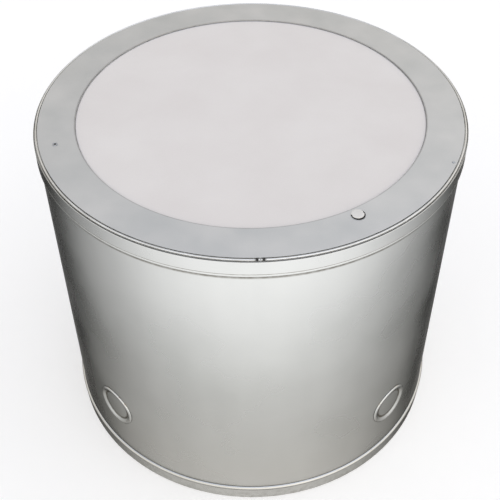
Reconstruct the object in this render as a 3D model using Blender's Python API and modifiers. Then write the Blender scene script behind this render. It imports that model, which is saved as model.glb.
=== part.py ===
"""Cylindrical kettledrum in silver-painted sheet steel.

A rolled shell stands in a base band and carries a bearing ring, over which the drumhead lies.
A rim cap (flat ring, skirt, bead and flesh hoop) telescopes over the top of the shell. Four
tension rods hang from it, and a tuning knob on the foot of each rod pulls the rim down against
a bracket on the shell. Each knob is reached through a round port with a push-in cap.

Metres. +Z is up along the drum's axis, the origin is on the floor under its centre, and the
front, where the bead's ends meet, faces -Y.
"""

import math

import bmesh
import bpy
from mathutils import Matrix, Vector

# Driving dimensions
OUTER_RADIUS = 0.3600          # over the rim skirt
RING_TOP = 0.6250              # height of the flat ring above the floor
HEAD_OPENING_RADIUS = 0.2920   # inner edge of the flat ring: a 23 inch playing area
SHELL_RADIUS = 0.3561          # outside of the shell
BASE_BAND_RADIUS = 0.3588      # outside of the base band, without its bead
BASE_BAND_HEIGHT = 0.0335
SHEET = 0.0015                 # sheet steel of shell, skirt and base plate
GAP = 0.0003                   # air left between pieces that touch
TUNING_TRAVEL = 0.0050         # how far the rim is pulled down from slack to full tension
SEGMENTS = 64                  # facets round the drum, shared by everything on its axis
SMALL_SEGMENTS = 24            # facets round a port, the vent or the ring plug
ROD_SEGMENTS = 12              # facets round a rod, nut or washer

# Rim
RING_THICKNESS = 0.0025
RING_RADIUS = 0.3526
BEAD_RADIUS = 0.0015
BEAD_CIRCLE_RADIUS = 0.3554    # middle of the bead
BEAD_JOINT_DEG = -88.0         # direction of the gap between the bead's ends
BEAD_JOINT_WIDTH = 0.0012
SKIRT_HEIGHT = 0.0320          # from the ring's top to the skirt's foot
SKIRT_LIP_DEPTH = 0.0032       # top edge of the skirt, below the ring's top
GROOVE_DEPTH = 0.0052          # floor of the groove inside the skirt's lip
FLANGE_INNER_RADIUS = 0.3150
PLUG_RADIUS = 0.0098
PLUG_PLACE = (0.3070, -59.6)   # distance from the drum's axis, direction in degrees
PLUG_STEM_RADIUS = 0.0060
PLUG_WASHER_RADIUS = 0.0107
PLUG_WASHER_SHIFT = 0.0010     # how far the washer has crept from the plug's middle
PLUG_WASHER_SHIFT_DEG = -20.0
EYELET_PLACE = (0.3265, -163.7)
EYELET_RADIUS = 0.0030         # outside of the eyelet's tube
RIVET_PLACE = (0.3470, -24.5)
RIVET_HOLE_RADIUS = 0.0025
RIVET_LENGTH = 0.0060          # how far eyelet and rivet reach below the ring's top

# Drumhead and its bearing
FILM = 0.0006
HEAD_DROP = 0.0025             # the head lies this far below the top of the ring
BEARING_EDGE_RADIUS = 0.2890   # circle on which the head bends down
BEARING_ROUND = 0.0012
BEARING_WALL = 0.0020
COLLAR_DEPTH = 0.0128          # lower edge of the head's collar, below the ring's top
HOOP_WIDTH = 0.0080
HOOP_DEPTH = 0.0150            # underside of the flesh hoop, below the ring's top
SHELF_DEPTH = 0.0380           # bearing ring's shelf, below the ring's top

# Tensioning
ROD_CIRCLE_RADIUS = 0.3280
ROD_RADIUS = 0.0040
ROD_FOOT = 0.1350              # height of the rod's lower end
BRACKET_HEIGHT = 0.1900        # underside of the bracket that the knob pulls against
KNOB_RADIUS = 0.0150
KNOB_HEIGHT = 0.0400
KNOB_LOBES = 6
LUG_SIZE = 0.0240
LUG_HEIGHT = 0.0160
NUT_ACROSS_FLATS = 0.0130
NUT_HEIGHT = 0.0065
ROD_CHAMFER = 0.0008
SHELF_HOLE_RADIUS = 0.0070     # leaves room for the rod and its thread
BRACKET_HOLE_RADIUS = 0.0046
BRACKET_SHELF = 0.0030         # thickness of the bracket's shelf
BRACKET_LEG = 0.0025           # thickness of the bracket's leg
BRACKET_LEG_HEIGHT = 0.0350
BRACKET_REACH = 0.0140         # how far the shelf runs inwards from the rod
KNOB_WASHER_RADIUS = 0.0110
KNOB_WASHER_THICKNESS = 0.0020
KNOB_LOBE_DEPTH = 0.0028

# Ports
PORT_HEIGHT = 0.1450
PORT_HOLE_RADIUS = 0.0392
PORT_LIP_RADIUS = 0.0420
PORT_LIP_HEIGHT = 0.0028       # how far the cap's lip stands out from the shell
PORT_FLOOR_RADIUS = 0.0300     # flat middle of the cap, from which its wall slopes up to the lip
PORT_FLOOR_DEPTH = 0.0008      # floor of the cap, below the shell's surface
PORT_SPIGOT_DEPTH = 0.0098
CAP_SHEET = 0.0012

# Base and seam
SHELL_FOOT = 0.0024            # the shell's lower edge, above the floor
BAND_LIP_RADIUS = 0.3460       # inner edge of the lip that the shell stands on
BAND_LIP_THICKNESS = 0.0020
BASE_PLATE_TOP = 0.0300
VENT_RADIUS = 0.0300
GROMMET_FLANGE = 0.0040        # how far the grommet reaches over the plate
STRAP_FOOT = 0.0400
STRAP_TOP = 0.5450
STRAP_THICKNESS = 0.0018

# Directions of the four stations, in degrees from +X
STATIONS = {"front_right": -45.0, "back_right": 45.0, "back_left": 135.0, "front_left": -135.0}

for old in list(bpy.data.objects):
    bpy.data.objects.remove(old, do_unlink=True)

drum = bpy.data.collections.new("timpani_drum")
cutters = bpy.data.collections.new("cutters")
for collection in (drum, cutters):
    bpy.context.scene.collection.children.link(collection)


def make_material(name, colour, roughness, metallic):
    """A Principled material with one colour, roughness and metallic value."""
    material = bpy.data.materials.new(name)
    material.use_nodes = True
    shader = material.node_tree.nodes["Principled BSDF"]
    shader.inputs["Base Color"].default_value = (*colour, 1.0)
    shader.inputs["Roughness"].default_value = roughness
    shader.inputs["Metallic"].default_value = metallic
    return material


SILVER_PAINT = make_material("silver_painted_steel", (0.52, 0.52, 0.50), 0.36, 0.85)
RING_PAINT = make_material("ring_silver_paint", (0.49, 0.50, 0.49), 0.42, 0.80)
BEAD_STEEL = make_material("bright_bead_steel", (0.72, 0.72, 0.70), 0.25, 1.0)
HEAD_FILM = make_material("white_head_film", (0.70, 0.67, 0.68), 0.45, 0.0)
ZINC_STEEL = make_material("zinc_plated_steel", (0.56, 0.57, 0.58), 0.35, 1.0)
HOOP_ALLOY = make_material("hoop_aluminium", (0.75, 0.75, 0.76), 0.35, 1.0)
BLACK_RUBBER = make_material("black_rubber", (0.03, 0.03, 0.03), 0.80, 0.0)
KNOB_PLASTIC = make_material("black_knob_plastic", (0.04, 0.04, 0.04), 0.50, 0.0)
PLUG_PLASTIC = make_material("white_plug_plastic", (0.74, 0.73, 0.72), 0.45, 0.0)


def add_object(name, data, material=None, collection=drum):
    """Links a new object and gives it its material."""
    obj = bpy.data.objects.new(name, data)
    collection.objects.link(obj)
    if material:
        data.materials.append(material)
    return obj


def add_empty(name, location, rotation_z=0.0):
    """An empty that stands on a joint's axis."""
    empty = add_object(name, None)
    empty.location = location
    empty.rotation_euler = (0.0, 0.0, rotation_z)
    return empty


def polar(radius, degrees, height=0.0):
    """Point at a distance from the drum's axis, in a direction, at a height."""
    angle = math.radians(degrees)
    return Vector((radius * math.cos(angle), radius * math.sin(angle), height))


def arc(centre_r, centre_z, radius, start_deg, end_deg, count):
    """Points of a profile along a circular arc."""
    points = []
    for step in range(count + 1):
        angle = math.radians(start_deg + (end_deg - start_deg) * step / count)
        points.append((centre_r + radius * math.cos(angle), centre_z + radius * math.sin(angle)))
    return points


def turned(name, profile, material, segments=SEGMENTS, closed=True):
    """Body of revolution about Z from (radius, height) points that run down the outer side."""
    mesh = bpy.data.meshes.new(name)
    count = len(profile)
    edges = [(i, i + 1) for i in range(count - 1)]
    if closed:
        edges.append((count - 1, 0))
    mesh.from_pydata([(radius, 0.0, height) for radius, height in profile], edges, [])
    obj = add_object(name, mesh, material)
    screw = obj.modifiers.new("turn", "SCREW")
    screw.axis = "Z"
    screw.angle = math.tau
    screw.steps = segments
    screw.render_steps = segments
    screw.use_merge_vertices = True
    screw.merge_threshold = 0.00001
    screw.use_smooth_shade = True
    return obj


def sector(name, profile, start_deg, end_deg, material):
    """The same kind of profile swept part of the way round, on the facets of the whole drum."""
    bm = bmesh.new()
    face = bm.faces.new([bm.verts.new(polar(radius, start_deg, z)) for radius, z in profile])
    steps = round((end_deg - start_deg) * SEGMENTS / 360.0)
    bmesh.ops.spin(
        bm, geom=[face, *face.edges, *face.verts], cent=(0.0, 0.0, 0.0), axis=(0.0, 0.0, 1.0),
        angle=math.radians(end_deg - start_deg), steps=steps,
    )
    bmesh.ops.recalc_face_normals(bm, faces=bm.faces)
    mesh = bpy.data.meshes.new(name)
    bm.to_mesh(mesh)
    bm.free()
    return add_object(name, mesh, material)


def outline_plate(name, outlines, thickness, material):
    """Flat plate from closed outlines, the first outside and the rest holes, centred on z = 0."""
    curve = bpy.data.curves.new(name, "CURVE")
    curve.dimensions = "2D"
    curve.fill_mode = "BOTH"
    curve.extrude = thickness / 2.0
    for outline in outlines:
        spline = curve.splines.new("POLY")
        spline.points.add(len(outline) - 1)
        for point, (x, y) in zip(spline.points, outline):
            point.co = (x, y, 0.0, 1.0)
        spline.use_cyclic_u = True
    return add_object(name, curve, material)


def circle_outline(radius, count=ROD_SEGMENTS):
    """Closed outline of a circle."""
    return [tuple(polar(radius, 360.0 * i / count).xy) for i in range(count)]


def hole_cutter(name, radius, length, location, segments=ROD_SEGMENTS, axis_matrix=None):
    """Cylinder that a Boolean takes away, centred on its location and upright unless turned."""
    bm = bmesh.new()
    bmesh.ops.create_cone(
        bm, cap_ends=True, segments=segments, radius1=radius, radius2=radius, depth=length,
    )
    if axis_matrix:
        bmesh.ops.transform(bm, matrix=axis_matrix, verts=bm.verts)
    mesh = bpy.data.meshes.new(name)
    bm.to_mesh(mesh)
    bm.free()
    cutter = add_object(name, mesh, collection=cutters)
    cutter.location = location
    cutter.hide_render = True
    cutter.display_type = "WIRE"
    return cutter


def cut(obj, cutter):
    """Takes the cutter away from the object."""
    boolean = obj.modifiers.new(cutter.name, "BOOLEAN")
    boolean.operation = "DIFFERENCE"
    boolean.solver = "EXACT"
    boolean.object = cutter


def wrap_round_shell(obj):
    """Bends a piece made flat on its local XY plane so that it follows the shell.

    Local X runs round the shell and local Z outwards, so each point sinks by the shell's own
    fall-away at its distance from the port's middle.
    """
    graph = bpy.context.evaluated_depsgraph_get()
    mesh = bpy.data.meshes.new_from_object(obj.evaluated_get(graph))
    obj.modifiers.clear()
    obj.data = mesh
    for vertex in mesh.vertices:
        fall = SHELL_RADIUS - math.sqrt(SHELL_RADIUS ** 2 - vertex.co.x ** 2)
        vertex.co.z -= fall
    mesh.shade_smooth()
    mesh.set_sharp_from_angle(angle=math.radians(40.0))


def below_top(points):
    """Turns heights given from the ring's top into heights above the floor."""
    return [(radius, RING_TOP + height) for radius, height in points]


# Heights, radii and angles that several pieces share
facet_deg = 360.0 / SEGMENTS
ring_underside = -RING_THICKNESS
flange_top = ring_underside - GAP
skirt_inner_radius = OUTER_RADIUS - SHEET - 0.0001
shell_inner_radius = SHELL_RADIUS - SHEET
lining_radius = shell_inner_radius - 0.0004
shell_top = -(GROOVE_DEPTH + SHEET + TUNING_TRAVEL + 0.0013)
film_outer_radius = BEARING_EDGE_RADIUS + BEARING_ROUND + 0.0010
collar_inner_radius = film_outer_radius - FILM
hoop_inner_radius = film_outer_radius + GAP
film_bend = film_outer_radius - BEARING_EDGE_RADIUS
bend_centre = -HEAD_DROP - film_bend


def build_shell():
    """Rolled tube with four port holes, and a strap over its seam at the back."""
    shell = turned("shell", [
        (SHELL_RADIUS, RING_TOP + shell_top),
        (SHELL_RADIUS, SHELL_FOOT),
        (shell_inner_radius, SHELL_FOOT),
        (shell_inner_radius, RING_TOP + shell_top),
    ], SILVER_PAINT)
    for station, degrees in STATIONS.items():
        lean = Matrix.Rotation(math.radians(90.0), 4, "Y")
        turn = Matrix.Rotation(math.radians(degrees), 4, "Z")
        cutter = hole_cutter(
            f"port_hole_{station}", PORT_HOLE_RADIUS, 0.040,
            polar(SHELL_RADIUS, degrees, PORT_HEIGHT), SMALL_SEGMENTS, turn @ lean,
        )
        cut(shell, cutter)
    sector("shell_seam_strap", [
        (lining_radius, STRAP_TOP),
        (lining_radius, STRAP_FOOT),
        (lining_radius - STRAP_THICKNESS, STRAP_FOOT),
        (lining_radius - STRAP_THICKNESS, STRAP_TOP),
    ], 90.0 - facet_deg, 90.0 + facet_deg, SILVER_PAINT)


def build_base():
    """Base band with a rolled bead on top and a lip below, base plate and its vent grommet."""
    band_inner = SHELL_RADIUS + GAP + 0.0001
    bead_centre = BASE_BAND_HEIGHT - 0.0036
    bulge = arc(BASE_BAND_RADIUS - 0.0014, bead_centre, 0.0028, 60.0, -60.0, 2)
    turned("base_band", [
        (band_inner, BASE_BAND_HEIGHT),
        *bulge,
        (BASE_BAND_RADIUS, bead_centre - 0.0042),
        (BASE_BAND_RADIUS, 0.0008),
        (BASE_BAND_RADIUS - 0.0008, 0.0),
        (BAND_LIP_RADIUS, 0.0),
        (BAND_LIP_RADIUS, BAND_LIP_THICKNESS),
        (band_inner, BAND_LIP_THICKNESS),
    ], SILVER_PAINT)
    plate_foot = BAND_LIP_THICKNESS + GAP
    plate_underside = BASE_PLATE_TOP - SHEET
    turned("base_plate", [
        (lining_radius, BASE_PLATE_TOP),
        (lining_radius, plate_foot),
        (lining_radius - SHEET, plate_foot),
        (lining_radius - SHEET, plate_underside),
        (VENT_RADIUS, plate_underside),
        (VENT_RADIUS, BASE_PLATE_TOP),
    ], SILVER_PAINT)
    grommet_top = BASE_PLATE_TOP + 0.0030
    grommet_foot = plate_underside - 0.0030
    turned("vent_grommet", [
        (VENT_RADIUS + GROMMET_FLANGE, grommet_top),
        (VENT_RADIUS + GROMMET_FLANGE, BASE_PLATE_TOP + GAP),
        (VENT_RADIUS - GAP, BASE_PLATE_TOP + GAP),
        (VENT_RADIUS - GAP, plate_underside - GAP),
        (VENT_RADIUS + GROMMET_FLANGE, plate_underside - GAP),
        (VENT_RADIUS + GROMMET_FLANGE, grommet_foot),
        (VENT_RADIUS - 0.0050, grommet_foot),
        (VENT_RADIUS - 0.0050, grommet_top),
    ], BLACK_RUBBER, SMALL_SEGMENTS)


def build_head():
    """Drumhead over a pressed bearing ring, whose shelf has a hole for each tension rod."""
    edge_round = arc(BEARING_EDGE_RADIUS, bend_centre, BEARING_ROUND, 90.0, 0.0, 2)
    wall_outer = BEARING_EDGE_RADIUS + BEARING_ROUND
    wall_inner = wall_outer - BEARING_WALL
    bearing = turned("bearing_ring", below_top([
        *edge_round,
        (wall_outer, -SHELF_DEPTH),
        (lining_radius, -SHELF_DEPTH),
        (lining_radius, -SHELF_DEPTH - 0.0220),
        (lining_radius - BEARING_WALL, -SHELF_DEPTH - 0.0220),
        (lining_radius - BEARING_WALL, -SHELF_DEPTH - BEARING_WALL),
        (wall_inner, -SHELF_DEPTH - BEARING_WALL),
        (wall_inner, -0.0100),
        (BEARING_EDGE_RADIUS - 0.0022, -0.0085),
        (BEARING_EDGE_RADIUS - 0.0026, -0.0055),
    ]), ZINC_STEEL)
    for station, degrees in STATIONS.items():
        cut(bearing, hole_cutter(
            f"shelf_hole_{station}", SHELF_HOLE_RADIUS, 0.020,
            polar(ROD_CIRCLE_RADIUS, degrees, RING_TOP - SHELF_DEPTH - 0.0010),
        ))
    turned("drumhead", below_top([
        (0.0, -HEAD_DROP),
        *arc(BEARING_EDGE_RADIUS, bend_centre, film_bend, 90.0, 0.0, 2),
        (film_outer_radius, -COLLAR_DEPTH),
        (collar_inner_radius, -COLLAR_DEPTH),
        *arc(BEARING_EDGE_RADIUS, bend_centre, film_bend - FILM, 0.0, 90.0, 2),
        (0.0, -HEAD_DROP - FILM),
    ]), HEAD_FILM, closed=False)


def build_rim():
    """Flat ring, skirt, split bead and flesh hoop, which slide up and down together."""
    axis = add_empty("rim_slide_axis", (0.0, 0.0, 0.0))
    ring = turned("rim_ring", below_top([
        (RING_RADIUS, 0.0),
        (RING_RADIUS, ring_underside),
        (HEAD_OPENING_RADIUS, ring_underside),
        (HEAD_OPENING_RADIUS, 0.0),
    ]), RING_PAINT)
    skirt_radius = OUTER_RADIUS - 0.0001
    seat_radius = BEAD_CIRCLE_RADIUS + 0.0012
    seat_depth = -2.0 * BEAD_RADIUS - 0.0001 - GAP
    step_radius = RING_RADIUS + 0.0004
    skirt = turned("rim_skirt", below_top([
        (skirt_radius, -SKIRT_LIP_DEPTH),
        (skirt_radius, -SKIRT_HEIGHT),
        (skirt_inner_radius, -SKIRT_HEIGHT),
        (skirt_inner_radius, -GROOVE_DEPTH - SHEET),
        (seat_radius - SHEET, -GROOVE_DEPTH - SHEET),
        (seat_radius - SHEET, seat_depth - SHEET),
        (step_radius - SHEET, seat_depth - SHEET),
        (step_radius - SHEET, flange_top - SHEET),
        (FLANGE_INNER_RADIUS, flange_top - SHEET),
        (FLANGE_INNER_RADIUS, flange_top),
        (step_radius, flange_top),
        (step_radius, seat_depth),
        (seat_radius, seat_depth),
        (seat_radius, -GROOVE_DEPTH),
        (skirt_inner_radius, -GROOVE_DEPTH),
        (skirt_inner_radius, -SKIRT_LIP_DEPTH),
    ]), SILVER_PAINT)
    bead = turned("rim_bead", below_top(
        arc(BEAD_CIRCLE_RADIUS, -0.0001 - BEAD_RADIUS, BEAD_RADIUS, 67.5, -247.5, 7)
    ), BEAD_STEEL)
    hoop = turned("flesh_hoop", below_top([
        (hoop_inner_radius + HOOP_WIDTH, flange_top),
        (hoop_inner_radius + HOOP_WIDTH, -HOOP_DEPTH),
        (hoop_inner_radius - 0.0008, -HOOP_DEPTH),
        (hoop_inner_radius - 0.0008, -COLLAR_DEPTH - GAP),
        (hoop_inner_radius, -COLLAR_DEPTH - GAP),
        (hoop_inner_radius, flange_top),
    ]), HOOP_ALLOY)
    for piece in (ring, skirt, bead, hoop):
        piece.parent = axis

    bead_gap = hole_cutter(
        "bead_joint_gap", 0.0060, BEAD_JOINT_WIDTH,
        polar(BEAD_CIRCLE_RADIUS, BEAD_JOINT_DEG, RING_TOP - BEAD_RADIUS),
        axis_matrix=Matrix.Rotation(math.radians(BEAD_JOINT_DEG), 4, "Z")
        @ Matrix.Rotation(math.radians(90.0), 4, "X"),
    )
    cut(bead, bead_gap)
    cut(ring, hole_cutter(
        "plug_hole", PLUG_STEM_RADIUS + 0.0004, 0.020, polar(*PLUG_PLACE, RING_TOP),
    ))
    for name, place, hole_radius in (
        ("rim_eyelet", EYELET_PLACE, EYELET_RADIUS + GAP),
        ("rim_rivet", RIVET_PLACE, RIVET_HOLE_RADIUS),
    ):
        rivet_hole = hole_cutter(f"{name}_hole", hole_radius, 0.030, polar(*place, RING_TOP))
        cut(ring, rivet_hole)
        cut(skirt, rivet_hole)
    return axis


def build_rivets(rim_axis):
    """Tubular eyelet on the left and small solid rivet on the right that pin ring to skirt."""
    eyelet = turned("rim_eyelet", [
        (EYELET_RADIUS + 0.0010, 0.0008), (EYELET_RADIUS + 0.0014, GAP),
        (EYELET_RADIUS, GAP), (EYELET_RADIUS, -RIVET_LENGTH),
        (EYELET_RADIUS - 0.0009, -RIVET_LENGTH), (EYELET_RADIUS - 0.0009, 0.0008),
    ], ZINC_STEEL, ROD_SEGMENTS)
    eyelet.location = polar(*EYELET_PLACE, RING_TOP)
    rivet = turned("rim_rivet", [
        (0.0, 0.0007), (0.0020, 0.0006), (0.0030, GAP), (RIVET_HOLE_RADIUS - GAP, GAP),
        (RIVET_HOLE_RADIUS - GAP, -RIVET_LENGTH), (0.0, -RIVET_LENGTH),
    ], ZINC_STEEL, ROD_SEGMENTS, closed=False)
    rivet.location = polar(*RIVET_PLACE, RING_TOP)
    for piece in (eyelet, rivet):
        piece.parent = rim_axis


def build_ring_plug():
    """White push-in plug that closes a hole in the flat ring, and the washer under its head."""
    head_foot = 0.0013
    plug = turned("ring_plug", [
        (0.0, 0.0031), (PLUG_RADIUS - 0.0016, 0.0029), (PLUG_RADIUS - 0.0004, 0.0024),
        (PLUG_RADIUS, 0.0018), (PLUG_RADIUS, head_foot), (PLUG_STEM_RADIUS, head_foot),
        (PLUG_STEM_RADIUS, -0.0070), (PLUG_STEM_RADIUS - 0.0015, -0.0085), (0.0, -0.0085),
    ], PLUG_PLASTIC, SMALL_SEGMENTS, closed=False)
    plug.location = polar(*PLUG_PLACE, RING_TOP)
    washer = turned("plug_washer", [
        (PLUG_WASHER_RADIUS, head_foot - GAP), (PLUG_WASHER_RADIUS, GAP),
        (PLUG_STEM_RADIUS + PLUG_WASHER_SHIFT + GAP, GAP),
        (PLUG_STEM_RADIUS + PLUG_WASHER_SHIFT + GAP, head_foot - GAP),
    ], BLACK_RUBBER, SMALL_SEGMENTS)
    washer.location = plug.location + polar(PLUG_WASHER_SHIFT, PLUG_WASHER_SHIFT_DEG)


def rounded_square(size, corner):
    """Closed outline of a square with arcs at its corners."""
    inner = size / 2.0 - corner
    points = []
    for quarter in range(4):
        start = 90.0 * quarter
        centre_x = inner * (1 if quarter in (0, 3) else -1)
        centre_y = inner * (1 if quarter in (0, 1) else -1)
        points += arc(centre_x, centre_y, corner, start, start + 90.0, 3)
    return points


def lobed_outline(radius, lobes, depth):
    """Closed outline that swings between the full radius and the radius less the depth."""
    count = lobes * 6
    points = []
    for step in range(count):
        angle = math.tau * step / count
        reach = radius - depth * (0.5 - 0.5 * math.cos(lobes * angle)) ** 2
        points.append((reach * math.cos(angle), reach * math.sin(angle)))
    return points


def build_tension_station(station, degrees, rim_axis):
    """One tension rod with its lug and lock nut on the rim, and its knob under the bracket."""
    turn = math.radians(degrees)
    lug_top = RING_TOP + flange_top - SHEET - GAP
    lug = outline_plate(
        f"rod_lug_{station}", [rounded_square(LUG_SIZE, 0.0030), circle_outline(ROD_RADIUS + GAP)],
        LUG_HEIGHT, ZINC_STEEL,
    )
    lug.location = polar(ROD_CIRCLE_RADIUS, degrees, lug_top - LUG_HEIGHT / 2.0)
    lug.rotation_euler.z = turn

    nut_top = lug_top - LUG_HEIGHT - GAP
    hexagon = [
        tuple(polar(NUT_ACROSS_FLATS / math.sqrt(3.0), 60.0 * side).xy) for side in range(6)
    ]
    nut = outline_plate(
        f"lock_nut_{station}", [hexagon, circle_outline(ROD_RADIUS + GAP)], NUT_HEIGHT, ZINC_STEEL,
    )
    nut.location = polar(ROD_CIRCLE_RADIUS, degrees, nut_top - NUT_HEIGHT / 2.0)
    nut.rotation_euler.z = turn

    rod_top = RING_TOP + flange_top - SHEET - 0.0017
    rod = turned(f"tension_rod_{station}", [
        (0.0, rod_top), (ROD_RADIUS - ROD_CHAMFER, rod_top), (ROD_RADIUS, rod_top - ROD_CHAMFER),
        (ROD_RADIUS, ROD_FOOT + ROD_CHAMFER), (ROD_RADIUS - ROD_CHAMFER, ROD_FOOT),
        (0.0, ROD_FOOT),
    ], ZINC_STEEL, ROD_SEGMENTS, closed=False)
    rod.location = polar(ROD_CIRCLE_RADIUS, degrees)
    rod.rotation_euler.z = turn
    for piece in (lug, nut, rod):
        piece.parent = rim_axis

    bracket = sector(f"rod_bracket_{station}", [
        (lining_radius, BRACKET_HEIGHT + BRACKET_LEG_HEIGHT),
        (lining_radius, BRACKET_HEIGHT),
        (ROD_CIRCLE_RADIUS - BRACKET_REACH, BRACKET_HEIGHT),
        (ROD_CIRCLE_RADIUS - BRACKET_REACH, BRACKET_HEIGHT + BRACKET_SHELF),
        (lining_radius - BRACKET_LEG, BRACKET_HEIGHT + BRACKET_SHELF),
        (lining_radius - BRACKET_LEG, BRACKET_HEIGHT + BRACKET_LEG_HEIGHT),
    ], degrees - facet_deg, degrees + facet_deg, ZINC_STEEL)
    cut(bracket, hole_cutter(
        f"bracket_hole_{station}", BRACKET_HOLE_RADIUS, 0.020,
        polar(ROD_CIRCLE_RADIUS, degrees, BRACKET_HEIGHT + BRACKET_SHELF / 2.0),
    ))

    washer_top = BRACKET_HEIGHT - GAP
    washer = turned(f"knob_washer_{station}", [
        (KNOB_WASHER_RADIUS, 0.0), (KNOB_WASHER_RADIUS, -KNOB_WASHER_THICKNESS),
        (BRACKET_HOLE_RADIUS, -KNOB_WASHER_THICKNESS), (BRACKET_HOLE_RADIUS, 0.0),
    ], ZINC_STEEL, ROD_SEGMENTS)
    washer.location = polar(ROD_CIRCLE_RADIUS, degrees, washer_top)
    washer.rotation_euler.z = turn

    knob_top = washer_top - KNOB_WASHER_THICKNESS - GAP
    axis = add_empty(
        f"tuning_axis_{station}", polar(ROD_CIRCLE_RADIUS, degrees, knob_top - KNOB_HEIGHT / 2.0),
        turn,
    )
    knob = outline_plate(
        f"tuning_knob_{station}",
        [
            lobed_outline(KNOB_RADIUS, KNOB_LOBES, KNOB_LOBE_DEPTH),
            circle_outline(ROD_RADIUS + GAP),
        ],
        KNOB_HEIGHT, KNOB_PLASTIC,
    )
    knob.parent = axis


def build_port(station, degrees):
    """Push-in cap with a rolled lip, and the rubber gasket that grips it in the port hole."""
    axis = add_empty(f"port_axis_{station}", polar(SHELL_RADIUS, degrees, PORT_HEIGHT))
    turn = Matrix.Rotation(math.radians(degrees), 4, "Z")
    lean = Matrix.Rotation(math.radians(90.0), 4, "Y")
    roll = Matrix.Rotation(math.radians(90.0), 4, "Z")
    axis.rotation_euler = (turn @ lean @ roll).to_euler()

    spigot_radius = PORT_HOLE_RADIUS - 0.0024
    roll_radius = spigot_radius - CAP_SHEET
    cap = turned(f"port_cap_{station}", [
        (0.0, -PORT_FLOOR_DEPTH),
        (PORT_FLOOR_RADIUS - 0.0008, -PORT_FLOOR_DEPTH),
        (PORT_FLOOR_RADIUS + 0.0008, -PORT_FLOOR_DEPTH + 0.0004),
        (roll_radius + 0.0006, PORT_LIP_HEIGHT - 0.0005),
        (roll_radius + 0.0026, PORT_LIP_HEIGHT),
        (PORT_LIP_RADIUS - 0.0010, PORT_LIP_HEIGHT - 0.0006),
        (PORT_LIP_RADIUS, PORT_LIP_HEIGHT - 0.0018),
        (PORT_LIP_RADIUS, GAP),
        (spigot_radius, GAP),
        (spigot_radius, -PORT_SPIGOT_DEPTH),
        (roll_radius, -PORT_SPIGOT_DEPTH),
        (roll_radius, GAP),
        (PORT_FLOOR_RADIUS, -PORT_FLOOR_DEPTH - CAP_SHEET),
        (0.0, -PORT_FLOOR_DEPTH - CAP_SHEET),
    ], SILVER_PAINT, SMALL_SEGMENTS, closed=False)
    gasket = turned(f"port_gasket_{station}", [
        (PORT_HOLE_RADIUS - GAP, 0.0),
        (PORT_HOLE_RADIUS - GAP, -0.0023),
        (PORT_HOLE_RADIUS + 0.0030, -0.0023),
        (PORT_HOLE_RADIUS + 0.0030, -0.0042),
        (spigot_radius + GAP, -0.0042),
        (spigot_radius + GAP, 0.0),
    ], BLACK_RUBBER, SMALL_SEGMENTS)
    for piece in (cap, gasket):
        wrap_round_shell(piece)
        piece.parent = axis


build_shell()
build_base()
build_head()
rim_slide_axis = build_rim()
build_rivets(rim_slide_axis)
build_ring_plug()
for station_name, station_degrees in STATIONS.items():
    build_tension_station(station_name, station_degrees, rim_slide_axis)
    build_port(station_name, station_degrees)
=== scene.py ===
import math

import bpy
import numpy as np
from mathutils import Matrix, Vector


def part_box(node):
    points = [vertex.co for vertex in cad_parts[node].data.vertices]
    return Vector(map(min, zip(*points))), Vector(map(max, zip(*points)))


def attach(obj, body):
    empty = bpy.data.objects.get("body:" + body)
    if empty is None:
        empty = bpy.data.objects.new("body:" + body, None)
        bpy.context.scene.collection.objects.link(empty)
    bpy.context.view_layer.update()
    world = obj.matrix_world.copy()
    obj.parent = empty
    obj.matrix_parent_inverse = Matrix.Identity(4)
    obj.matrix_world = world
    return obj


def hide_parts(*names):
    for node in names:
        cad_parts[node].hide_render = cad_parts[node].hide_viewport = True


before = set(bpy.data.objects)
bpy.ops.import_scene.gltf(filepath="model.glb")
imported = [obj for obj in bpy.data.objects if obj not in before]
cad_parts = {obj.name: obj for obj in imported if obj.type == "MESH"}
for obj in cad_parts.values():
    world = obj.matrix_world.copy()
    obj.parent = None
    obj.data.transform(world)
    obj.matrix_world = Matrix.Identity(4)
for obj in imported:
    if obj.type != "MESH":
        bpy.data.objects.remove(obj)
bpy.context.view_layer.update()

# ---------------------------------------------------------------------------- base band
# The foot of the drum: a strip of mild steel rolled to a hoop, with a bead formed along its top
# edge and the lower edge turned in under the shell. It is spot welded to the shell, and the two
# are sprayed with the same silver lacquer.


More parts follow.
